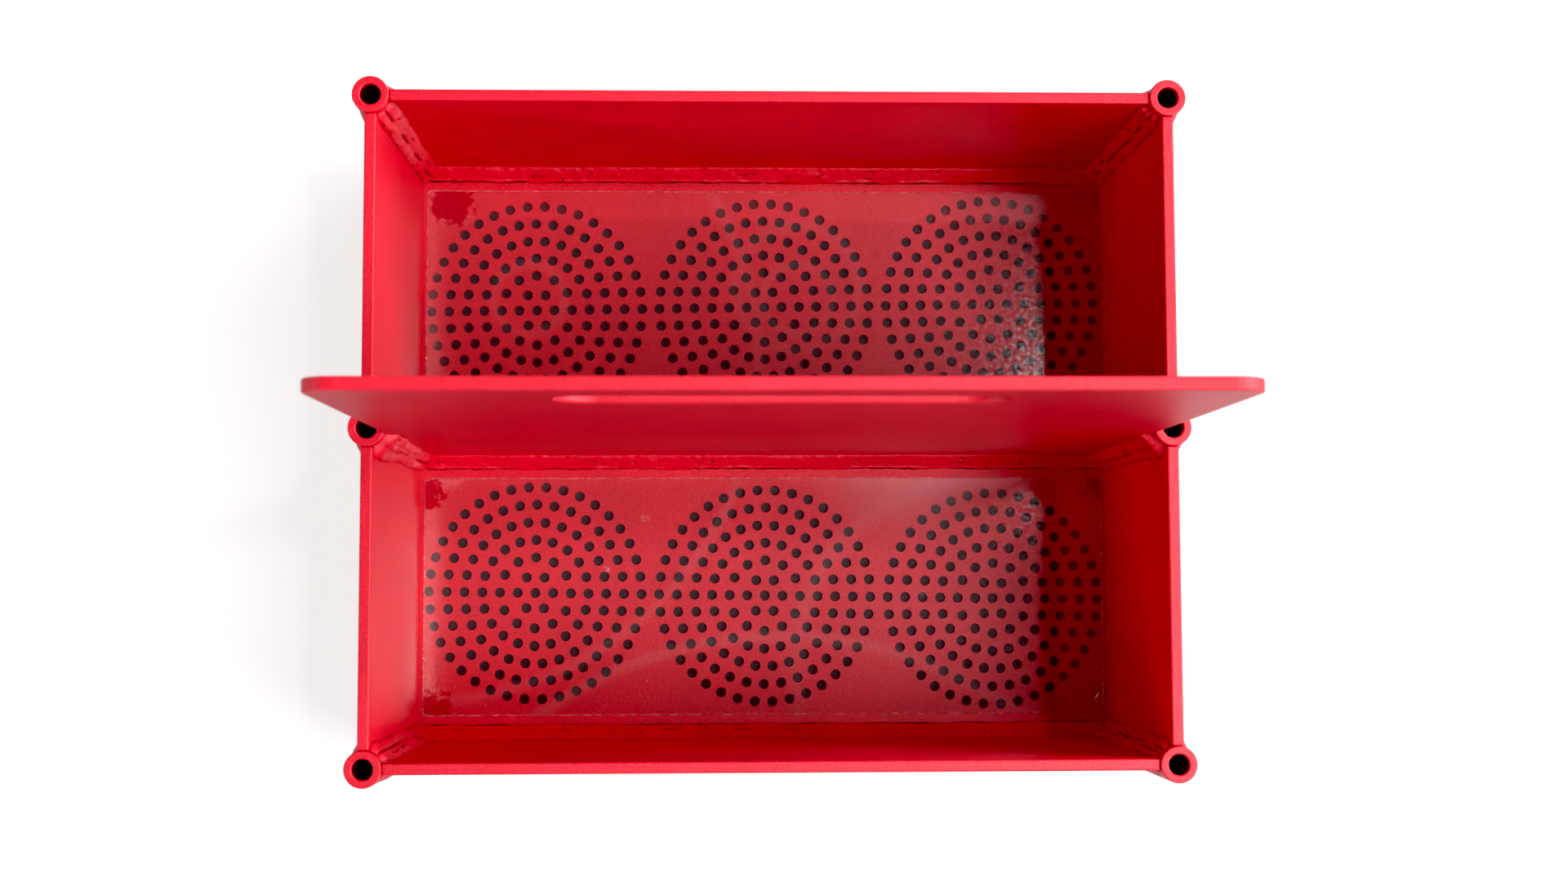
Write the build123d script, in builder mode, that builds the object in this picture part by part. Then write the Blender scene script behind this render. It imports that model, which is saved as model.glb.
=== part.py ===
from build123d import *
import os
from math import cos, radians, sin

# A welded steel carrier for six one-litre milk bottles: two bays of three places each, on either
# side of a tall middle plate that is also the carrying handle. Millimetres, +Z up, +X along the
# long side, +Y to the rear. The origin is the middle of the footprint, at the level it rests on.

# Steel plate and tube
plate_thickness = 4.0
edge_round = 0.6
tube_diameter = 12.7
bore_diameter = 7.2
tube_rim_round = 0.5

# Bays
bottle_pitch = 91.0
places_per_bay = 3
bay_length = places_per_bay * bottle_pitch
bay_depth = 111.5

# Heights above the resting level
mat_thickness = 4.0
floor_thickness = 2.0
floor_top = mat_thickness + floor_thickness
steel_bottom = 1.0
wall_height = 120.0
rim_height = steel_bottom + wall_height
tube_top = rim_height + 2.0
handle_top = 271.0

# Handle
handle_corner_radius = 10.0
slot_length = 130.0
slot_height = 23.0
slot_centre_height = 243.5
slot_edge_round = 1.0

# Drain holes: rings of holes around the middle of each bottle place
# The patterns sit slightly askew to the walls, turned opposite ways in the two floors (degrees).
hole_diameter = 4.0
ring_spacing = 7.0
holes_in_ring = (6, 12, 20, 26, 32, 38)
pattern_turn = 0.85

# Clearances: floor plate to tubes, and mats to walls
notch_gap = 0.3
mat_gap = 1.5
mat_corner_radius = 6.0

# Clear liners
liner_length = 270.0
liner_depth = 94.0
liner_thickness = 1.0
liner_corner_radius = 2.0

# Weld beads
floor_weld_leg = 5.6
inner_weld_leg = 6.2
outer_weld_leg = 3.8
outer_weld_angle = 55.0
weld_crown = 0.4
inner_weld_drop = 3.0
outer_weld_drop = 1.0

# Middle planes of the plates, which are also the axes of the tubes
side_x = bay_length / 2 + plate_thickness / 2
end_y = bay_depth + plate_thickness
bay_y = end_y / 2
half_plate = plate_thickness / 2
tube_radius = tube_diameter / 2
long_plate_length = 2 * (side_x - tube_radius)
side_plate_length = end_y - tube_diameter

os.makedirs("parts", exist_ok=True)


def save(part, name):
    part.label = name
    export_step(part, f"parts/{name}.step")


# Front and rear walls, butted against the corner tubes
for name, y in (("front_plate", -end_y), ("rear_plate", end_y)):
    with BuildPart(Plane.XY.offset(steel_bottom)) as wall_plate:
        with Locations((0, y)):
            Box(
                long_plate_length,
                plate_thickness,
                wall_height,
                align=(Align.CENTER, Align.CENTER, Align.MIN),
            )
        fillet(wall_plate.edges(), edge_round)
    save(wall_plate.part, name)

# Side walls: each side is two plates, with the middle tube between them
for side, x in (("left", -side_x), ("right", side_x)):
    for bay, y in (("front", -bay_y), ("rear", bay_y)):
        with BuildPart(Plane.XY.offset(steel_bottom)) as side_plate:
            with Locations((x, y)):
                Box(
                    plate_thickness,
                    side_plate_length,
                    wall_height,
                    align=(Align.CENTER, Align.CENTER, Align.MIN),
                )
            fillet(side_plate.edges(), edge_round)
        save(side_plate.part, f"{side}_{bay}_side_plate")

# Middle plate: it divides the bays and rises into the handle, with a hand slot near its top
with BuildPart() as handle_plate:
    with BuildSketch(Plane.XZ) as handle_outline:
        with Locations((0, steel_bottom)):
            Rectangle(
                long_plate_length,
                handle_top - steel_bottom,
                align=(Align.CENTER, Align.MIN),
            )
        top_corners = handle_outline.vertices().group_by(Axis.Y)[-1]
        fillet(top_corners, handle_corner_radius)
        with Locations((0, slot_centre_height)):
            SlotOverall(slot_length, slot_height, mode=Mode.SUBTRACT)
    extrude(amount=half_plate, both=True)
    for face in handle_plate.faces().filter_by(Axis.Y):
        fillet(face.inner_wires()[0].edges(), slot_edge_round)
    for face in handle_plate.faces().filter_by(Axis.Y):
        fillet(face.outer_wire().edges(), edge_round)
save(handle_plate.part, "handle_plate")

# Tubes: four at the corners, and two that take the ends of the middle plate
tube_places = (
    ("front_left", -side_x, -end_y),
    ("front_right", side_x, -end_y),
    ("rear_left", -side_x, end_y),
    ("rear_right", side_x, end_y),
    ("left_middle", -side_x, 0),
    ("right_middle", side_x, 0),
)
for name, x, y in tube_places:
    with BuildPart(Plane.XY.offset(steel_bottom)) as tube:
        with BuildSketch():
            with Locations((x, y)):
                Circle(tube_radius)
                Circle(bore_diameter / 2, mode=Mode.SUBTRACT)
        extrude(amount=tube_top - steel_bottom)
        fillet(tube.edges().group_by(Axis.Z)[-1], tube_rim_round)
    save(tube.part, f"{name}_tube")

# Floors and mats: a perforated plate in each bay, with a rubber mat under it
for bay, y, turn in (("front", -bay_y, -pattern_turn), ("rear", bay_y, pattern_turn)):
    with BuildPart() as floor_plate:
        with BuildSketch(Plane.XY.offset(mat_thickness)):
            with Locations((0, y)):
                Rectangle(bay_length, bay_depth)
            with Locations((0, y)):
                with GridLocations(2 * side_x, end_y, 2, 2):
                    Circle(tube_radius + notch_gap, mode=Mode.SUBTRACT)
            with Locations(Location((0, y), turn)):
                with GridLocations(bottle_pitch, 0, places_per_bay, 1):
                    Circle(hole_diameter / 2, mode=Mode.SUBTRACT)
                    for ring, count in enumerate(holes_in_ring, start=1):
                        with PolarLocations(ring * ring_spacing, count):
                            Circle(hole_diameter / 2, mode=Mode.SUBTRACT)
        extrude(amount=floor_thickness)
    save(floor_plate.part, f"{bay}_floor_plate")

    with BuildPart() as mat:
        with BuildSketch():
            with Locations((0, y)):
                RectangleRounded(
                    bay_length - 2 * mat_gap, bay_depth - 2 * mat_gap, mat_corner_radius
                )
        extrude(amount=mat_thickness)
    save(mat.part, f"{bay}_mat")

    # Clear liner, loose on the floor
    with BuildPart() as liner:
        with BuildSketch(Plane.XY.offset(floor_top)):
            with Locations((0, y)):
                RectangleRounded(liner_length, liner_depth, liner_corner_radius)
        extrude(amount=liner_thickness)
    save(liner.part, f"{bay}_liner")


def draw_inner_weld(x, y, to_bay):
    """Section of the upright bead in a bay's corner, over the tube at (x, y)."""
    inward = -1 if x > 0 else 1
    near = half_plate
    far = half_plate + inner_weld_leg
    crown = half_plate + inner_weld_leg / 2 + weld_crown
    corner = (x + inward * near, y + to_bay * near)
    on_long_wall = (x + inward * far, y + to_bay * near)
    on_side_wall = (x + inward * near, y + to_bay * far)
    with BuildLine() as section:
        Polyline(on_long_wall, corner, on_side_wall)
        ThreePointArc(
            on_side_wall, (x + inward * crown, y + to_bay * crown), on_long_wall
        )
    make_face(section.edges())


def draw_outer_weld(x, y, along, outward):
    """Section of the upright bead from the tube at (x, y) to the outer face of a plate.

    along points from the tube down the plate, and outward points out of the crate.
    """

    def place(run, rise):
        return (
            x + run * along[0] + rise * outward[0],
            y + run * along[1] + rise * outward[1],
        )

    on_tube_run = tube_radius * cos(radians(outer_weld_angle))
    on_tube_rise = tube_radius * sin(radians(outer_weld_angle))
    toe_run = tube_radius + outer_weld_leg
    middle_run = (on_tube_run + toe_run) / 2 + weld_crown / 2
    middle_rise = (on_tube_rise + half_plate) / 2 + weld_crown
    with BuildLine() as section:
        Polyline(
            place(toe_run, half_plate),
            place(on_tube_run, half_plate),
            place(on_tube_run, on_tube_rise),
        )
        ThreePointArc(
            place(on_tube_run, on_tube_rise),
            place(middle_run, middle_rise),
            place(toe_run, half_plate),
        )
    make_face(section.edges())


# Upright beads: inside the bays' corners, and outside from each tube to its plates
inner_weld_top = rim_height - inner_weld_drop
outer_weld_top = rim_height - outer_weld_drop
for name, x, y in tube_places:
    middle = y == 0
    bay_directions = (-1, 1) if middle else (1 if y < 0 else -1,)
    with BuildPart() as inner_weld:
        with BuildSketch(Plane.XY.offset(floor_top)):
            for to_bay in bay_directions:
                draw_inner_weld(x, y, to_bay)
            with Locations((x, y)):
                Circle(tube_radius, mode=Mode.SUBTRACT)
        extrude(amount=inner_weld_top - floor_top)
    save(inner_weld.part, f"{name}_inner_weld" + ("s" if middle else ""))

    out_x = 1 if x > 0 else -1
    with BuildPart() as outer_weld:
        with BuildSketch(Plane.XY.offset(steel_bottom)):
            for to_bay in bay_directions:
                draw_outer_weld(x, y, (0, to_bay), (out_x, 0))
            if not middle:
                draw_outer_weld(x, y, (-out_x, 0), (0, -bay_directions[0]))
            with Locations((x, y)):
                Circle(tube_radius, mode=Mode.SUBTRACT)
        extrude(amount=outer_weld_top - steel_bottom)
    save(outer_weld.part, f"{name}_outer_welds")

# Floor beads: along the foot of each long wall, between the upright beads
for bay, y in (("front", -bay_y), ("rear", bay_y)):
    with BuildPart() as floor_weld:
        with BuildSketch(Plane.YZ.offset(-bay_length / 2)):
            for to_middle in (-1, 1):
                wall_y = y - to_middle * bay_depth / 2
                toe_y = wall_y + to_middle * floor_weld_leg
                crown_y = wall_y + to_middle * (floor_weld_leg / 2 + weld_crown)
                with BuildLine():
                    Polyline(
                        (wall_y, floor_top + floor_weld_leg),
                        (wall_y, floor_top),
                        (toe_y, floor_top),
                    )
                    ThreePointArc(
                        (toe_y, floor_top),
                        (crown_y, floor_top + floor_weld_leg / 2 + weld_crown),
                        (wall_y, floor_top + floor_weld_leg),
                    )
                make_face()
        extrude(amount=bay_length)
        with BuildSketch(Plane.XY.offset(floor_top)):
            for x in (-side_x, side_x):
                for to_bay in (-1, 1):
                    draw_inner_weld(x, y - to_bay * bay_y, to_bay)
        extrude(amount=2 * floor_weld_leg, mode=Mode.SUBTRACT)
    save(floor_weld.part, f"{bay}_floor_welds")
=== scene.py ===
from math import cos, exp, pi, radians, sin, sqrt

import bmesh
import bpy
import numpy as np
from mathutils import Matrix, Vector, noise


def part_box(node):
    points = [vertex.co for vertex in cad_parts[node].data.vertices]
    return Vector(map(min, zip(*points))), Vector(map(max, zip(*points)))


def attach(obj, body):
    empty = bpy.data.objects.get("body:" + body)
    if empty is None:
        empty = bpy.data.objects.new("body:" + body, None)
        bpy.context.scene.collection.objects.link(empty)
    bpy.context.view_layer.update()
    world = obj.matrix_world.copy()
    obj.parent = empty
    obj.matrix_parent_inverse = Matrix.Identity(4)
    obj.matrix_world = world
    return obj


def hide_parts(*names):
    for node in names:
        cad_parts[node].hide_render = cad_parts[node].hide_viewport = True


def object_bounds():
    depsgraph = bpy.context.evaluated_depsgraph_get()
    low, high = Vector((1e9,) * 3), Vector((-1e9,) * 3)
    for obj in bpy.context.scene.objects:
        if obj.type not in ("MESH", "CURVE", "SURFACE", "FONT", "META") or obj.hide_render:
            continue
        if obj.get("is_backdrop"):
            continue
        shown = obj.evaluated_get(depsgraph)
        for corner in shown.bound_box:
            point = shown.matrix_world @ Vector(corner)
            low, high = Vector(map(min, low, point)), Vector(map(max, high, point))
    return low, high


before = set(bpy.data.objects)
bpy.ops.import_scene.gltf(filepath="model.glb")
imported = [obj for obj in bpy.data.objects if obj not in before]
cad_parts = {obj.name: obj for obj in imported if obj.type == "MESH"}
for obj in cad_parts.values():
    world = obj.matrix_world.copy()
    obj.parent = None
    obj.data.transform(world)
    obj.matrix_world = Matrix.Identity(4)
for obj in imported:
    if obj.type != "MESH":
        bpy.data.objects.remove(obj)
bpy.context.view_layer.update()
scene = bpy.context.scene

# Blender works in metres, and the sizes below named _mm are in millimetres
MM = 0.001

# Sizes of the tubes and plates, which the beads and the painted shade in the bores are worked out
# from
tube_low, tube_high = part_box("front_left_tube")
plate_low, plate_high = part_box("front_plate")
half_plate = (plate_high.y - plate_low.y) / 2
plate_mm = half_plate / MM
radius_mm = (tube_high.x - tube_low.x) / 2 / MM
bore_mm = 3.6
lip_mm = tube_high.z / MM

# A glossy surface of refractive index 1.5 mirrors this share of the light that meets it square
square_on_share = 0.04


# --------------------------------------------------------------------------------------------
# Node helpers
# --------------------------------------------------------------------------------------------

def add_node(tree, kind, inputs=None, **settings):
    """A new node. An input may be a value, or another node's output to link from."""
    made = tree.nodes.new(kind)
    for key, value in settings.items():
        setattr(made, key, value)
    for key, value in (inputs or {}).items():
        if isinstance(value, bpy.types.NodeSocket):
            tree.links.new(value, made.inputs[key])
        else:
            made.inputs[key].default_value = value
    return made


def millimetres(tree):
    """The surface point in millimetres, so that every texture scale below is per millimetre."""
    place = add_node(tree, "ShaderNodeTexCoord")
    scaled = add_node(
        tree,
        "ShaderNodeVectorMath",
        {0: place.outputs["Object"], "Scale": 1 / MM},
        operation="SCALE",
    )
    return scaled.outputs[0]


def noise_texture(tree, point, scale, detail=2.0, roughness=0.5):
    """Smooth noise around 0.5, with scale features to the millimetre."""
    made = add_node(
        tree,
        "ShaderNodeTexNoise",
        {"Vector": point, "Scale": scale, "Detail": detail, "Roughness": roughness},
    )
    return made.outputs["Fac"]


def remap(tree, value, low, high, to_low, to_high):
    """Carries low..high onto to_low..to_high, and holds the ends beyond them."""
    made = add_node(
        tree,
        "ShaderNodeMapRange",
        {"Value": value, "From Min": low, "From Max": high, "To Min": to_low, "To Max": to_high},
    )
    return made.outputs["Result"]


def combine(tree, operation, first, second):
    made = add_node(tree, "ShaderNodeMath", {0: first, 1: second}, operation=operation)
    return made.outputs[0]


def absolute(tree, value):
    return add_node(tree, "ShaderNodeMath", {0: value}, operation="ABSOLUTE").outputs[0]


def strongest(tree, values):
    result = values[0]
    for value in values[1:]:
        result = combine(tree, "MAXIMUM", result, value)
    return result


def coordinate(tree, point, axis):
    return add_node(tree, "ShaderNodeSeparateXYZ", {0: point}).outputs[axis]


def mix_colour(tree, factor, first, second, blend="MIX"):
    """Mix of two colours, each a triple or another node's output."""
    made = add_node(
        tree, "ShaderNodeMix", {"Factor": factor}, data_type="RGBA", blend_type=blend
    )
    colour_inputs = [socket for socket in made.inputs if socket.type == "RGBA"]
    for socket, colour in zip(colour_inputs, (first, second)):
        if isinstance(colour, bpy.types.NodeSocket):
            tree.links.new(colour, socket)
        else:
            socket.default_value = (*colour, 1.0)
    return next(socket for socket in made.outputs if socket.type == "RGBA")


def bump(tree, height, distance, normal=None):
    """Bump of the given height in metres, on top of an earlier normal if there is one."""
    inputs = {"Height": height, "Distance": distance, "Strength": 1.0}
    if normal is not None:
        inputs["Normal"] = normal
    return add_node(tree, "ShaderNodeBump", inputs).outputs["Normal"]


def new_material(name):
    material = bpy.data.materials.new(name)
    material.use_nodes = True
    tree = material.node_tree
    return material, tree, tree.nodes["Principled BSDF"]


# --------------------------------------------------------------------------------------------
# Materials
# --------------------------------------------------------------------------------------------

def distance_to(tree, point, x, y):
    """Distance in millimetres, in plan, from the place (x, y)."""
    flat = add_node(tree, "ShaderNodeVectorMath", {0: point, 1: (1, 1, 0)}, operation="MULTIPLY")
    away = add_node(
        tree, "ShaderNodeVectorMath", {0: flat.outputs[0], 1: (x, y, 0)}, operation="DISTANCE"
    )
    return away.outputs["Value"]


def dust_specks(tree, point):
    """Sparse light specks, a few tenths of a millimetre across."""
    cells = add_node(tree, "ShaderNodeTexVoronoi", {"Vector": point, "Scale": 0.11})
    chosen = add_node(tree, "ShaderNodeSeparateColor", {0: cells.outputs["Color"]}).outputs["Red"]
    reach = remap(tree, chosen, 0.3, 1.0, 0.0, 0.034)
    inside = combine(tree, "LESS_THAN", cells.outputs["Distance"], reach)
    return combine(tree, "MULTIPLY", inside, 0.55)


def powder_coat(name, grain=1.0, bore=None):
    """Bright red powder coat: fine sandy grain, a soft orange peel, and painted shade, with less
    shine, in recesses.

    bore is the (x, y) axis of a tube, whose inside gets painted shade below its lip.
    """
    material, tree, shader = new_material(name)
    point = millimetres(tree)
    cloud = noise_texture(tree, point, 0.035, 3.0)
    sand = noise_texture(tree, point, 1.8, 3.0, 0.65)
    peel = noise_texture(tree, point, 0.6, 1.0)

    clouding = remap(tree, cloud, 0.35, 0.65, 0, 1)
    colour = mix_colour(tree, clouding, (0.64, 0.013, 0.029), (0.58, 0.011, 0.026))
    speckle = remap(tree, sand, 0.38, 0.62, 1 - 0.2 * grain, 1 + 0.2 * grain)
    grey = add_node(
        tree, "ShaderNodeCombineColor", {"Red": speckle, "Green": speckle, "Blue": speckle}
    )
    colour = mix_colour(tree, 1.0, colour, grey.outputs[0], "MULTIPLY")
    colour = mix_colour(tree, dust_specks(tree, point), colour, (0.9, 0.45, 0.45))
    if bore:
        away = distance_to(tree, point, *bore)
        inside = remap(tree, away, bore_mm + 0.05, bore_mm + 0.15, 1.0, 0.0)
        height = coordinate(tree, point, "Z")
        below_lip = remap(tree, height, lip_mm - 2.5, lip_mm - 0.7, 1.0, 0.0)
        recess = combine(tree, "MULTIPLY", inside, below_lip)
    else:
        recess = add_node(tree, "ShaderNodeAttribute", attribute_name="recess").outputs["Fac"]
    # Painted shade: near-black colour, and no shine, in the bore below its lip and in the beads'
    # creases, cracks and pits
    colour = mix_colour(tree, recess, colour, (0.03, 0.001, 0.001))
    tree.links.new(colour, shader.inputs["Base Color"])
    shine = remap(tree, recess, 0.0, 1.0, 0.38, 0.0)
    tree.links.new(shine, shader.inputs["Specular IOR Level"])
    rough = remap(tree, sand, 0.3, 0.7, 0.32, 0.46)
    tree.links.new(rough, shader.inputs["Roughness"])
    normal = bump(tree, peel, 0.08 * MM)
    normal = bump(tree, sand, 0.15 * MM * grain, normal)
    tree.links.new(normal, shader.inputs["Normal"])
    shader.inputs["IOR"].default_value = 1.5
    return material


def rubber():
    """Black rubber, slightly dusty, with a fine pebbled surface."""
    material, tree, shader = new_material("black_rubber")
    point = millimetres(tree)
    pebble = noise_texture(tree, point, 1.1, 2.0)
    dust = noise_texture(tree, point, 0.05, 4.0, 0.7)
    dusty = remap(tree, dust, 0.4, 0.7, 0, 1)
    colour = mix_colour(tree, dusty, (0.006, 0.005, 0.005), (0.014, 0.012, 0.012))
    tree.links.new(colour, shader.inputs["Base Color"])
    tree.links.new(remap(tree, pebble, 0.3, 0.7, 0.62, 0.85), shader.inputs["Roughness"])
    tree.links.new(bump(tree, pebble, 0.15 * MM), shader.inputs["Normal"])
    return material


def arc_band(tree, point, x, y, radius, width, strength):
    """A soft band along a circle: a painted highlight along a long shallow fold in the sheet."""
    off = absolute(tree, combine(tree, "SUBTRACT", distance_to(tree, point, x, y), radius))
    soft = add_node(
        tree, "ShaderNodeMapRange",
        {"Value": off, "From Min": 0.0, "From Max": width, "To Min": strength, "To Max": 0.0},
        interpolation_type="SMOOTHSTEP",
    )
    return soft.outputs["Result"]


def scuff_mark(tree, point, x, y, reach, fleck):
    """Small scratched flecks around a place."""
    near = remap(tree, distance_to(tree, point, x, y), reach * 0.5, reach, 1.0, 0.0)
    return combine(tree, "MULTIPLY", near, fleck)


def wet_patch(tree, point, x, y, reach, ragged):
    """1 inside a ragged patch where the sheet clings to the floor, and 0 outside."""
    distance = combine(tree, "ADD", distance_to(tree, point, x, y), ragged)
    return remap(tree, distance, reach, reach + 0.8, 1.0, 0.0)


# Marks on the sheets, in millimetres. Painted highlights along long shallow folds: middle x and y,
# radius, width, strength
fold_highlights = (
    (5.5, -236, 162, 4.0, 0.022),
    (-136, 35, 134, 3.5, 0.015),
    (86, -86, 74, 6.0, 0.015),
    (13.5, 61, 14, 2.5, 0.016),
    (13.5, 66, 25, 4.0, 0.012),
    (-94, 61, 14, 3.0, 0.014),
)
# Painted glare on the front sheet, a soft white spot brightest beside the middle plate: as a fold,
# with no radius
front_glare = (60, 12, 0, 55, 0.12)
# Faint white film over both sheets, which fades out toward the front edge, between these y places,
# as painted shade from the front wall
film_strength = 0.009
film_from_to = (-95.0, -65.0)
# Scratches and scuffs: x, y and reach
sheet_scuffs = (
    (99, -33, 4.5),
    (104, -28, 3.0),
    (122, -99.5, 6.0),
    (-47.5, -27, 2.2),
    (-63, -47, 2.0),
    (64, -57, 2.4),
)
scratch_strength = 0.28
# Places where the sheets cling to the floor: x, y and reach
wet_places = ((-134, -17, 6), (-131, -103, 7), (-125, 99, 8), (133, -14, 5))
wet_strength = 0.2


def clear_sheet():
    """Clear plastic sheet: see-through, a mirror-like skin, painted highlights along faint folds, a
    painted glare spot, a faint film, scuffs and wet patches.
    """
    material, tree, shader = new_material("clear_sheet")
    point = millimetres(tree)
    scuff = noise_texture(tree, point, 0.6, 3.0, 0.6)
    facing = add_node(tree, "ShaderNodeLayerWeight", {"Blend": 0.5}).outputs["Facing"]
    grazing = combine(tree, "POWER", facing, 5.0)
    one_face = remap(tree, grazing, 0.0, 1.0, square_on_share, 1.0)
    twice = combine(tree, "MULTIPLY", one_face, 2.0)
    both_faces = combine(tree, "DIVIDE", twice, combine(tree, "ADD", one_face, 1.0))
    # Painted highlights and glare on the sheets, with the faint film
    painted_glare_and_film = strongest(tree, [arc_band(tree, point, *place) for place in fold_highlights])
    toward_rear = coordinate(tree, point, "Y")
    in_front = combine(tree, "LESS_THAN", toward_rear, 0.0)
    # Painted glare: a soft white spot on the front sheet
    glare_spot = combine(tree, "MULTIPLY", arc_band(tree, point, *front_glare), in_front)
    # Faint film of the sheet, faded toward the front as painted shade from the front wall
    film = remap(tree, toward_rear, *film_from_to, 0.0, film_strength)
    painted_glare_and_film = combine(tree, "ADD", painted_glare_and_film, combine(tree, "ADD", glare_spot, film))
    grazes = combine(tree, "SUBTRACT", noise_texture(tree, point, 0.45, 2.0), 0.5)
    fleck = remap(tree, absolute(tree, grazes), 0.0, 0.02, 1.0, 0.0)
    scratch = strongest(tree, [scuff_mark(tree, point, *place, fleck) for place in sheet_scuffs])
    ragged = remap(tree, noise_texture(tree, point, 0.3, 4.0, 0.6), 0.3, 0.7, -4.0, 4.0)
    wet = strongest(tree, [wet_patch(tree, point, *place, ragged) for place in wet_places])
    dry = combine(tree, "SUBTRACT", 1.0, wet)

    painted_glare_and_film = combine(tree, "MULTIPLY", painted_glare_and_film, dry)
    white = combine(tree, "MAXIMUM", painted_glare_and_film, combine(tree, "MULTIPLY", scratch, scratch_strength))
    mirror = combine(tree, "MULTIPLY", both_faces, dry)
    skin = combine(tree, "ADD", white, mirror)
    cover = combine(tree, "MAXIMUM", skin, combine(tree, "MULTIPLY", wet, wet_strength))
    tree.links.new(cover, shader.inputs["Alpha"])
    share = combine(tree, "DIVIDE", mirror, combine(tree, "ADD", skin, 0.001))
    tree.links.new(share, shader.inputs["Metallic"])
    colour = mix_colour(tree, wet, (0.97, 0.93, 0.93), (0.30, 0.0, 0.008))
    tree.links.new(colour, shader.inputs["Base Color"])
    tree.links.new(remap(tree, scuff, 0.3, 0.7, 0.04, 0.12), shader.inputs["Roughness"])
    return material


def sheet_edge():
    """The cut edge of the clear sheet, which catches the light."""
    material, tree, shader = new_material("clear_sheet_edge")
    point = millimetres(tree)
    nick = noise_texture(tree, point, 0.35, 3.0, 0.7)
    worn = remap(tree, nick, 0.35, 0.7, 0, 1)
    colour = mix_colour(tree, worn, (0.85, 0.25, 0.27), (0.97, 0.55, 0.56))
    tree.links.new(colour, shader.inputs["Base Color"])
    tree.links.new(remap(tree, nick, 0.3, 0.7, 0.2, 0.6), shader.inputs["Alpha"])
    tree.links.new(remap(tree, nick, 0.3, 0.7, 0.15, 0.35), shader.inputs["Roughness"])
    return material


coat = powder_coat("red_powder_coat")
weld_coat = powder_coat("red_powder_coat_weld", grain=1.1)
rubber_black = rubber()
sheet_clear = clear_sheet()
sheet_rim = sheet_edge()

for name, cad_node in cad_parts.items():
    finish = rubber_black if name.endswith("_mat") else coat
    if name.endswith("_tube"):
        axis = (sum(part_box(name), Vector()) / 2) / MM
        finish = powder_coat(f"red_powder_coat_{name}", bore=(axis.x, axis.y))
    cad_node.data.materials.clear()
    cad_node.data.materials.append(finish)


# --------------------------------------------------------------------------------------------
# Weld beads
# --------------------------------------------------------------------------------------------

def add_to_scene(name, data):
    made = bpy.data.objects.new(name, data)
    scene.collection.objects.link(made)
    return made


def wave(x, y, z=0.37):
    """Smooth noise between about -1 and 1."""
    return noise.noise(Vector((x, y, z)))


class Bead:
    """A lumpy bead of weld metal, as one closed skin.

    Its section lies between toe_a and toe_b, which are (a, b) distances in millimetres along the
    two directions across the bead, and root, the hidden point behind it.
    """

    def __init__(self, start, along, across_a, across_b, length, toe_a, toe_b, root, seed):
        self.start, self.along, self.length = start, along, length
        self.across_a, self.across_b = across_a, across_b
        self.toe_a, self.toe_b, self.root = toe_a, toe_b, root
        self.seed = seed
        chord = (toe_b[0] - toe_a[0], toe_b[1] - toe_a[1])
        self.width = sqrt(chord[0] ** 2 + chord[1] ** 2)
        normal = (chord[1] / self.width, -chord[0] / self.width)
        middle = ((toe_a[0] + toe_b[0]) / 2 - root[0], (toe_a[1] + toe_b[1]) / 2 - root[1])
        side = 1 if normal[0] * middle[0] + normal[1] * middle[1] > 0 else -1
        self.normal = (side * normal[0], side * normal[1])


# Past each toe a bead's skin turns in by this much, so that it ends inside the plates
tuck_mm = 0.7
# Size of a bead's section at its very ends, as a share of its full size
end_share = 0.04


def build_beads(name, beads, relief, spacing=0.42, across=26, end_round=3.0):
    """One mesh object from several beads. relief(bead, t, s) gives (height, recess, spread), and
    recess is the painted shade in the colour of creases and pits.

    t is the distance along the bead in millimetres, and s goes across it from 0 to 1.
    """
    vertices, faces, recesses = [], [], []
    ring = across + 4
    for bead in beads:
        rows = int(bead.length / spacing) + 1
        first = len(vertices)
        for row in range(rows):
            t = bead.length * row / (rows - 1)
            near_end = min(t, bead.length - t, end_round) / end_round
            closing = sqrt(max(0.0, 1 - (1 - near_end) ** 2))
            closing = end_share + (1 - end_share) * closing
            section = []
            for column in range(across + 1):
                s = column / across
                height, recess, spread = relief(bead, t, s)
                a = bead.toe_a[0] + (bead.toe_b[0] - bead.toe_a[0]) * s
                b = bead.toe_a[1] + (bead.toe_b[1] - bead.toe_a[1]) * s
                a = bead.root[0] + (a - bead.root[0]) * spread + bead.normal[0] * height
                b = bead.root[1] + (b - bead.root[1]) * spread + bead.normal[1] * height
                section.append((a, b, recess))
            (head_a, head_b, _), (last_a, last_b, _) = section[0], section[-1]
            tuck_a, tuck_b = tuck_mm * bead.normal[0], tuck_mm * bead.normal[1]
            section.append((last_a - tuck_a, last_b - tuck_b, 0))
            section.append((bead.root[0], bead.root[1], 0))
            section.append((head_a - tuck_a, head_b - tuck_b, 0))
            for a, b, recess in section:
                a = bead.root[0] + (a - bead.root[0]) * closing
                b = bead.root[1] + (b - bead.root[1]) * closing
                vertices.append(
                    bead.start + MM * (t * bead.along + a * bead.across_a + b * bead.across_b)
                )
                recesses.append(recess)
        for row in range(rows - 1):
            for column in range(ring):
                following = (column + 1) % ring
                here = first + row * ring
                there = here + ring
                faces.append((here + column, here + following, there + following, there + column))
        faces.append(tuple(first + column for column in reversed(range(ring))))
        faces.append(tuple(first + (rows - 1) * ring + column for column in range(ring)))
    mesh = bpy.data.meshes.new(name)
    mesh.from_pydata(vertices, [], faces)
    mesh.validate()
    # The painted shade at each point, which the powder coat reads to darken its colour
    recess_layer = mesh.attributes.new("recess", "FLOAT", "POINT")
    recess_layer.data.foreach_set("value", recesses)
    for polygon in mesh.polygons:
        polygon.use_smooth = len(polygon.vertices) == 4
    mesh.materials.append(weld_coat)
    piece = add_to_scene(name, mesh)
    turn_outward(piece)
    return piece


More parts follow.
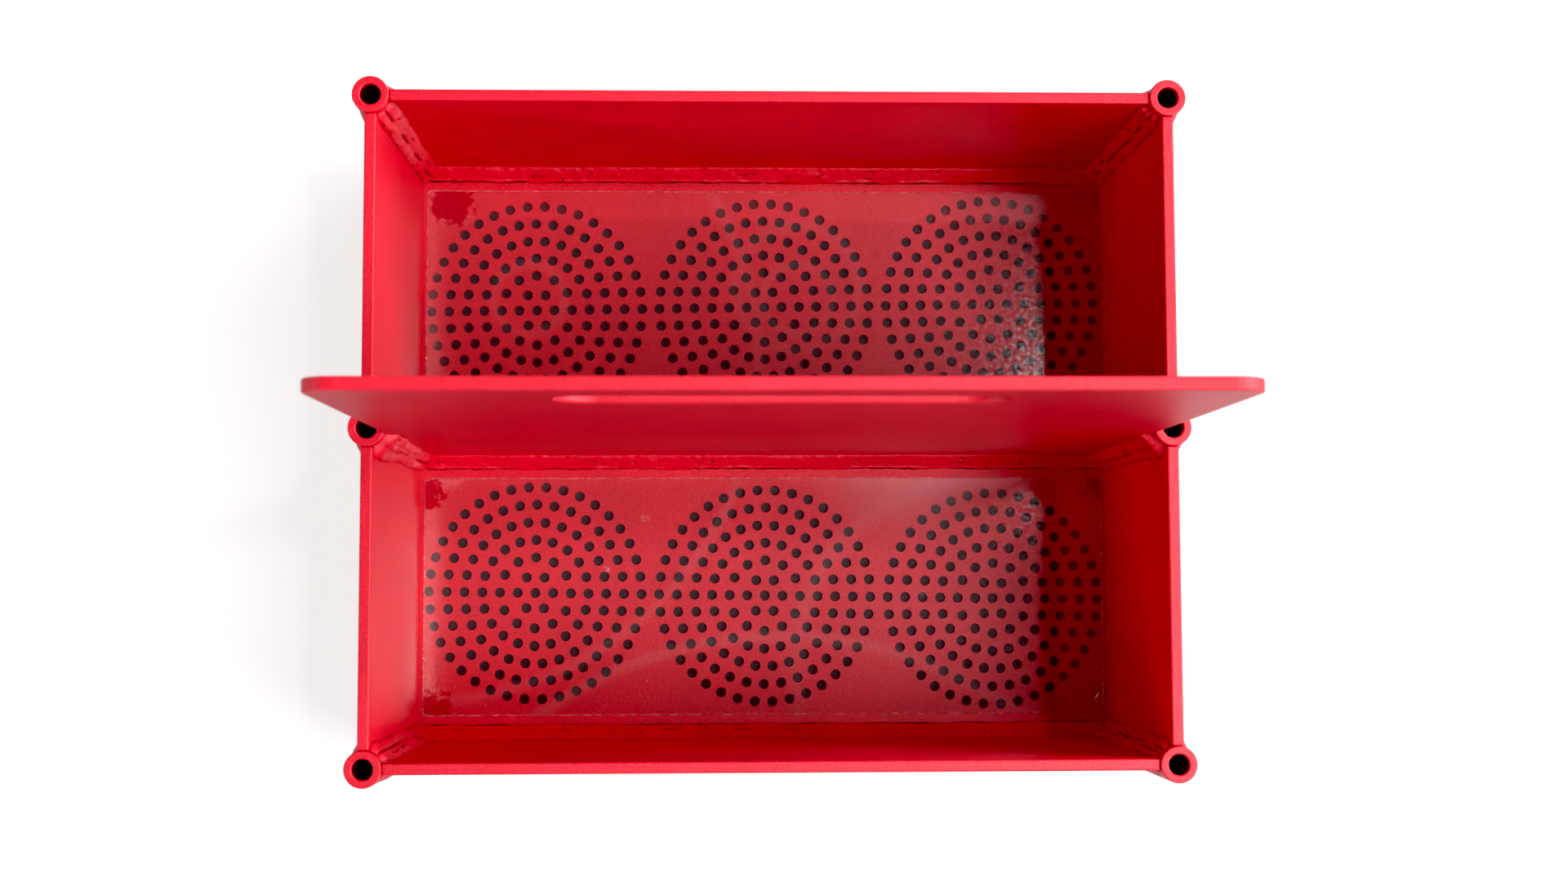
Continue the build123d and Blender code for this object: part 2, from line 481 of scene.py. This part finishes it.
def turn_outward(piece):
    work = bmesh.new()
    work.from_mesh(piece.data)
    bmesh.ops.recalc_face_normals(work, faces=work.faces)
    work.to_mesh(piece.data)
    work.free()


def dip(distance, width):
    """A smooth dip: 1 at its middle, and near 0 past its width."""
    return exp(-((distance / width) ** 2))


def step(value, low, high):
    """0 below low, 1 above high, and smooth between."""
    x = min(1.0, max(0.0, (value - low) / (high - low)))
    return x * x * (3 - 2 * x)


def pits_of(bead, count, low_s, high_s):
    """Pinholes on a bead: (t, s, radius, depth), in millimetres but for s, which is a share."""
    rng = np.random.default_rng(bead.seed)
    return [
        (
            rng.uniform(3, bead.length - 3),
            rng.uniform(low_s, high_s),
            rng.uniform(0.28, 0.55),
            rng.uniform(0.7, 1.5),
        )
        for _ in range(count)
    ]


def pit_depth(bead, t, s):
    depth = 0.0
    for pit_t, pit_s, radius, deep in bead.pits:
        if abs(t - pit_t) < 3 * radius:
            away = ((t - pit_t) ** 2 + ((s - pit_s) * bead.width) ** 2) / radius ** 2
            depth = max(depth, deep * exp(-away))
    return depth


def lumps(bead, t, s, coarse, fine):
    """Two sizes of lump, of the given heights."""
    across = s * bead.width
    value = coarse * wave(t * 0.35, across * 0.45, bead.seed)
    value += fine * wave(t * 1.3, across * 1.3, bead.seed + 40)
    return value


def corner_relief(bead, t, s):
    """Two smooth beads side by side over a tube, with long creases between them and at the toes,
    and painted shade in the creases, toe cracks and pits.
    """
    split = 0.55 + 0.12 * wave(t * 0.04, bead.seed * 1.7) + 0.02 * wave(t * 0.25, bead.seed)
    crown = 0.6 * sqrt(max(0.0, 4 * s * (1 - s)))
    crease = step(wave(t * 0.075, bead.seed * 3.1), -0.25, 0.0) * dip(s - split, 0.035)
    second = split - 0.24 + 0.06 * wave(t * 0.07, bead.seed + 4)
    crease = max(crease, step(wave(t * 0.09, bead.seed + 21), 0.08, 0.25) * dip(s - second, 0.028))
    from_toe_a = s - 0.05 * wave(t * 0.2, bead.seed + 2)
    from_toe_b = 1 - s - 0.05 * wave(t * 0.22, bead.seed + 7)
    toe_crack = step(wave(t * 0.13, 3 * (s > 0.5), bead.seed + 9), 0.0, 0.2)
    toe_crack *= dip(min(from_toe_a, from_toe_b) - 0.05, 0.03)
    weave = t / 7.5 + 1.2 * (s - 0.5) ** 2 + 0.7 * wave(t * 0.05, bead.seed)
    scallop = 0.22 * abs(sin(pi * weave)) * step(split - s, -0.1, 0.15)
    twin = 0.3 * (1 - dip(s - split, 0.15))
    height = crown + twin + scallop * (1 - abs(2 * s - 1)) + lumps(bead, t, s, 0.22, 0.05)
    spread = 1 + 0.09 * wave(t * 0.10, bead.seed * 5.3, 3 * s)
    spread += 0.02 * wave(t * 0.5, bead.seed, 4 * s)
    if bead.rough:
        high = step(t / bead.length, 0.5, 0.9)
        spread += high * (0.30 + 0.25 * wave(t * 0.16, s * 2, bead.seed))
        height -= 0.25 * high
        crease *= 1 - 0.8 * high
    pit = pit_depth(bead, t, s)
    height -= 0.9 * crease + 0.4 * toe_crack + pit
    recess = min(1.0, 0.9 * crease + 0.75 * toe_crack + 0.9 * min(1.0, pit))
    return height, recess, spread


def outer_relief(bead, t, s):
    """A flat fillet outside, with shallow ripples and painted shade in its pits."""
    inside = 4 * s * (1 - s)
    ripple = 0.08 * sin(2 * pi * (t / 2.6 + 0.8 * (s - 0.5) ** 2))
    pit = pit_depth(bead, t, s)
    height = inside * (0.15 + ripple + lumps(bead, t, s, 0.2, 0.08)) - pit
    spread = 1 + 0.05 * wave(t * 0.2, bead.seed * 2.3, 3 * s)
    return height, 0.8 * min(1.0, pit), spread


def floor_relief(bead, t, s):
    """A long smooth bead. s is 0 at the wall and 1 at the floor, where it laps over a crease, with
    painted shade under the lap and in its cracks and pits.
    """
    crown = 0.7 * sqrt(max(0.0, 4 * s * (1 - s)))
    lap_open = step(wave(t * 0.06, bead.seed * 2.1), -0.5, -0.1)
    lap = 0.84 + 0.05 * wave(t * 0.11, bead.seed) + 0.03 * wave(t * 0.5, bead.seed + 2)
    beyond = lap_open * step(s, lap, lap + 0.05)
    height = crown + 0.45 * lap_open * dip(s - lap + 0.06, 0.07) - 0.35 * beyond
    pit = pit_depth(bead, t, s)
    height += lumps(bead, t, s, 0.2, 0.04) - pit
    hook = 0.45 + 0.3 * wave(t * 0.25, bead.seed + 11)
    crack = step(wave(t * 0.16, bead.seed + 6), 0.38, 0.46) * dip(s - hook, 0.035)
    height -= 0.4 * crack
    # The painted shade under the lap fades right at the toe
    pale = step(s, 0.97, 1.0)
    recess = min(1.0, beyond * (1 - 0.7 * pale) + 0.8 * min(1.0, pit) + 0.7 * crack)
    spread = 1 + 0.08 * wave(t * 0.08, bead.seed * 5.3, 2 * s)
    spread += 0.04 * wave(t * 0.35, bead.seed, 3 * s)
    return height, recess, spread


def tube_centre(name):
    low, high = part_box(f"{name}_tube")
    return (low + high) / 2


def add_piece(piece, node, body="crate"):
    """Puts a piece in the place of a CAD node, on a body."""
    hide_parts(node)
    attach(piece, body)


up = Vector((0, 0, 1))
tubes = ("front_left", "front_right", "rear_left", "rear_right", "left_middle", "right_middle")

# The hidden root of a bead lies this far inside the metal
root_mm = 0.2
# An outer bead starts on the tube at this angle from its plate
outer_angle = radians(55)
outer_toe = (radius_mm * cos(outer_angle), radius_mm * sin(outer_angle))

for index, name in enumerate(tubes):
    axis = tube_centre(name)
    middle = name.endswith("_middle")
    inward = Vector((-1 if axis.x > 0 else 1, 0, 0))
    bays = (-1, 1) if middle else (1 if axis.y < 0 else -1,)

    node = f"{name}_inner_weld" + ("s" if middle else "")
    low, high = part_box(node)
    leg = (high.x - low.x) / MM
    beads = []
    for bay in bays:
        to_bay = Vector((0, bay, 0))
        start = Vector((axis.x, axis.y, low.z)) + half_plate * (inward + to_bay)
        bead = Bead(
            start, up, inward, to_bay, (high.z - low.z) / MM,
            (leg, 0), (0, leg), (-root_mm, -root_mm), seed=10 + 3 * index + bay,
        )
        bead.pits = pits_of(bead, 26 if middle else 5, 0.1, 0.9)
        bead.rough = middle
        beads.append(bead)
    add_piece(build_beads(f"{name}_corner_beads", beads, corner_relief), node)

    node = f"{name}_outer_welds"
    low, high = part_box(node)
    reach = max(abs(high.y - axis.y), abs(low.y - axis.y)) / MM
    runs = [(Vector((0, bay, 0)), -inward) for bay in bays]
    if not middle:
        runs.append((inward, Vector((0, -bays[0], 0))))
    beads = []
    for number, (along_plate, outward) in enumerate(runs):
        bead = Bead(
            Vector((axis.x, axis.y, low.z)), up, along_plate, outward, (high.z - low.z) / MM,
            outer_toe, (reach, plate_mm), (outer_toe[0], plate_mm - root_mm),
            seed=60 + 3 * index + number,
        )
        bead.pits = pits_of(bead, 4, 0.3, 0.7)
        beads.append(bead)
    outer_beads = build_beads(
        f"{name}_outer_beads", beads, outer_relief, spacing=0.6, across=14, end_round=8.0
    )
    add_piece(outer_beads, node)

for index, bay in enumerate(("front", "rear")):
    node = f"{bay}_floor_welds"
    low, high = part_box(node)
    leg = (high.z - low.z) / MM
    beads = []
    for side, (wall_y, to_middle) in enumerate(((low.y, 1), (high.y, -1))):
        bead = Bead(
            Vector((low.x, wall_y, low.z)), Vector((1, 0, 0)), Vector((0, to_middle, 0)), up,
            (high.x - low.x) / MM, (0, leg), (leg, 0), (-root_mm, -root_mm),
            seed=90 + 2 * index + side,
        )
        bead.pits = pits_of(bead, 7, 0.2, 0.85)
        beads.append(bead)
    floor_beads = build_beads(
        f"{bay}_floor_beads", beads, floor_relief, spacing=0.5, across=26, end_round=2.0
    )
    add_piece(floor_beads, node)


# --------------------------------------------------------------------------------------------
# Clear liners
# --------------------------------------------------------------------------------------------

def grid_lines(low, high, corner, pitch):
    """Grid line places between low and high, close together over the rounded corners."""
    inner = np.linspace(low + corner, high - corner, int((high - low) / pitch) + 1)
    edge = np.array([0.0, 0.25, 0.55, 0.8]) * corner
    return list(low + edge) + list(inner) + list(high - edge[::-1])


def rounded(x, y, low, high, corner):
    """Moves a point of the grid's square corners onto the sheet's round corners."""
    centre_x = min(max(x, low.x + corner), high.x - corner)
    centre_y = min(max(y, low.y + corner), high.y - corner)
    dx, dy = (x - centre_x) / corner, (y - centre_y) / corner
    if dx == 0 or dy == 0:
        return x, y
    return (
        centre_x + corner * dx * sqrt(1 - dy * dy / 2),
        centre_y + corner * dy * sqrt(1 - dx * dx / 2),
    )


def liner_lift(x, y, low, seed):
    """How far the sheet stands off the floor, in metres.

    It lies in long shallow waves, and its -X edge curls up a little.
    """
    value = 1.0 + 0.9 * wave(x * 9, y * 12, seed) + 0.08 * wave(x * 45, y * 45, seed + 5)
    from_edge = (x - low.x) / edge_curl_reach
    return 0.4 * MM * max(0.0, value) + edge_curl_height * max(0.0, 1 - from_edge) ** 2


# Sizes of the sheets, in metres
sheet_thickness = 0.5 * MM
sheet_corner = 2 * MM
cut_slope = 0.5 * MM
grid_pitch = 3 * MM
floor_gap = 0.02 * MM
edge_curl_height = 0.5 * MM
edge_curl_reach = 18 * MM
chip_curl = 0.5 * MM
chip_depth = 0.9 * MM


def build_liner(name, node, body, seed, chip=None):
    """A thin sheet with a sloping cut edge. chip is (y, reach) of a curled nick in its +X edge."""
    low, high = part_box(node)
    columns = grid_lines(low.x, high.x, sheet_corner, grid_pitch)
    lines = grid_lines(low.y, high.y, sheet_corner, grid_pitch)
    middle = (low + high) / 2
    shrink_x = 1 - cut_slope / (middle.x - low.x)
    shrink_y = 1 - cut_slope / (middle.y - low.y)
    vertices = []
    for skin in (0, 1):
        for y in lines:
            for x in columns:
                place_x, place_y = rounded(x, y, low, high, sheet_corner)
                lift = floor_gap + liner_lift(x, y, low, seed)
                if skin:
                    place_x = middle.x + (place_x - middle.x) * shrink_x
                    place_y = middle.y + (place_y - middle.y) * shrink_y
                if chip and x > high.x - sheet_corner:
                    curl = dip(y - chip[0], chip[1])
                    lift += chip_curl * curl * (x - high.x + sheet_corner) / sheet_corner
                    place_x -= skin * chip_depth * curl * (1 + 0.4 * wave(y * 900, seed))
                vertices.append((place_x, place_y, low.z + lift + skin * sheet_thickness))
    wide, deep = len(columns), len(lines)
    layer = wide * deep
    faces = []
    for j in range(deep - 1):
        for i in range(wide - 1):
            a = j * wide + i
            faces.append((a, a + wide, a + wide + 1, a + 1))
            faces.append((layer + a, layer + a + 1, layer + a + wide + 1, layer + a + wide))
    skins = len(faces)
    border = list(range(wide))
    border += [j * wide + wide - 1 for j in range(1, deep)]
    border += [(deep - 1) * wide + i for i in range(wide - 2, -1, -1)]
    border += [j * wide for j in range(deep - 2, 0, -1)]
    for here, there in zip(border, border[1:] + border[:1]):
        faces.append((here, there, layer + there, layer + here))
    mesh = bpy.data.meshes.new(name)
    mesh.from_pydata(vertices, [], faces)
    mesh.materials.append(sheet_clear)
    mesh.materials.append(sheet_rim)
    for index, polygon in enumerate(mesh.polygons):
        polygon.use_smooth = index < skins
        polygon.material_index = 0 if index < skins else 1
    add_piece(add_to_scene(name, mesh), node, body)


build_liner("front_clear_sheet", "front_liner", "front_liner_sheet", 3.3, (-99.5 * MM, 4 * MM))
build_liner("rear_clear_sheet", "rear_liner", "rear_liner_sheet", 7.7)


# --------------------------------------------------------------------------------------------
# Floor, light and camera
# --------------------------------------------------------------------------------------------

# The ground's own glow, as the camera sees it and as glossy surfaces do
glow_to_camera = 0.75
glow_in_gloss = 0.35


def pale_floor():
    """A pale ground, which glows to the camera and in reflections, so that it reads as white."""
    material, tree, shader = new_material("pale_floor")
    point = millimetres(tree)
    tone = noise_texture(tree, point, 0.004, 2.0)
    colour = mix_colour(tree, tone, (0.30, 0.30, 0.30), (0.32, 0.32, 0.32))
    tree.links.new(colour, shader.inputs["Base Color"])
    shader.inputs["Roughness"].default_value = 0.8
    shader.inputs["Emission Color"].default_value = (1.0, 0.99, 0.985, 1)
    path = add_node(tree, "ShaderNodeLightPath")
    in_gloss = combine(tree, "MULTIPLY", path.outputs["Is Glossy Ray"], glow_in_gloss)
    direct = combine(tree, "MULTIPLY", path.outputs["Is Camera Ray"], glow_to_camera)
    tree.links.new(combine(tree, "ADD", direct, in_gloss), shader.inputs["Emission Strength"])
    mesh = bpy.data.meshes.new("floor")
    half = 6.0
    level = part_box("front_mat")[0].z - 0.05 * MM
    mesh.from_pydata(
        [(-half, -half, level), (half, -half, level), (half, half, level), (-half, half, level)],
        [], [(0, 1, 2, 3)],
    )
    mesh.materials.append(material)
    add_to_scene("floor", mesh)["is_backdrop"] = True


pale_floor()

# The surroundings are dim, more so overhead, to keep the sheets clear. The camera sees them pale.
world = bpy.data.worlds.new("studio")
scene.world = world
world.use_nodes = True
tree = world.node_tree
direction = add_node(tree, "ShaderNodeTexCoord").outputs["Generated"]
upward = coordinate(tree, direction, "Z")
strength = remap(tree, upward, 0.0, 0.9, 0.12, 0.02)
seen = add_node(tree, "ShaderNodeLightPath").outputs["Is Camera Ray"]
strength = combine(tree, "MAXIMUM", strength, combine(tree, "MULTIPLY", seen, 0.85))
tree.links.new(strength, tree.nodes["Background"].inputs["Strength"])
tree.nodes["Background"].inputs["Color"].default_value = (1, 1, 1, 1)

light_distance = 2.5
light_aim = Vector((0, 0, 0.08))


def softbox(name, azimuth, tilt, width, height, radiance):
    """A rectangular light aimed at the crate.

    azimuth goes round from +X towards +Y, and tilt is the angle from straight overhead.
    """
    light = bpy.data.lights.new(name, "AREA")
    light.shape = "RECTANGLE"
    light.size, light.size_y = width, height
    light.energy = radiance * pi * width * height
    lamp = add_to_scene(name, light)
    a, b = radians(azimuth), radians(tilt)
    away = Vector((cos(a) * sin(b), sin(a) * sin(b), cos(b)))
    lamp.location = light_aim + light_distance * away
    lamp.rotation_euler = away.to_track_quat("Z", "Y").to_euler()


# Name, azimuth, tilt, width, height, radiance
softbox("spark", 22, 17, 0.12, 0.12, 230.0)
softbox("key", 335, 28, 0.8, 0.8, 20.5)
softbox("right_low", 343, 50, 1.4, 1.4, 4.2)
softbox("right_wide", 15, 68, 3.0, 0.9, 12.0)
softbox("right_rear", 44, 62, 1.4, 0.7, 5.0)
softbox("left_low", 197, 67, 1.8, 0.55, 9.5)
softbox("front_high", 270, 33, 1.8, 0.45, 1.7)

focus = add_to_scene("focus", None)
focus.location = (0, 0, 0.06)

lens = bpy.data.cameras.new("camera")
lens.sensor_width = 36
lens.lens = 46.48
lens.dof.use_dof = True
lens.dof.focus_object = focus
lens.dof.aperture_fstop = 14
# The camera looks down almost square on, from a little to the front and left
camera = add_to_scene("camera", lens)
turn = (
    Matrix.Rotation(radians(0.05), 3, "Z")
    @ Matrix.Rotation(radians(1.92), 3, "Y")
    @ Matrix.Rotation(radians(-4.22), 3, "X")
)
camera.matrix_world = Matrix.Translation((-0.0193, -0.0557, 0.8135)) @ turn.transposed().to_4x4()
scene.camera = camera

# A small black level in green and blue keeps the deep reds pure, as a camera does
scene.view_settings.view_transform = "Standard"
scene.view_settings.use_curve_mapping = True
scene.view_settings.curve_mapping.black_level = (0.0, 0.018, 0.014)

bpy.context.view_layer.update()
low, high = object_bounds()
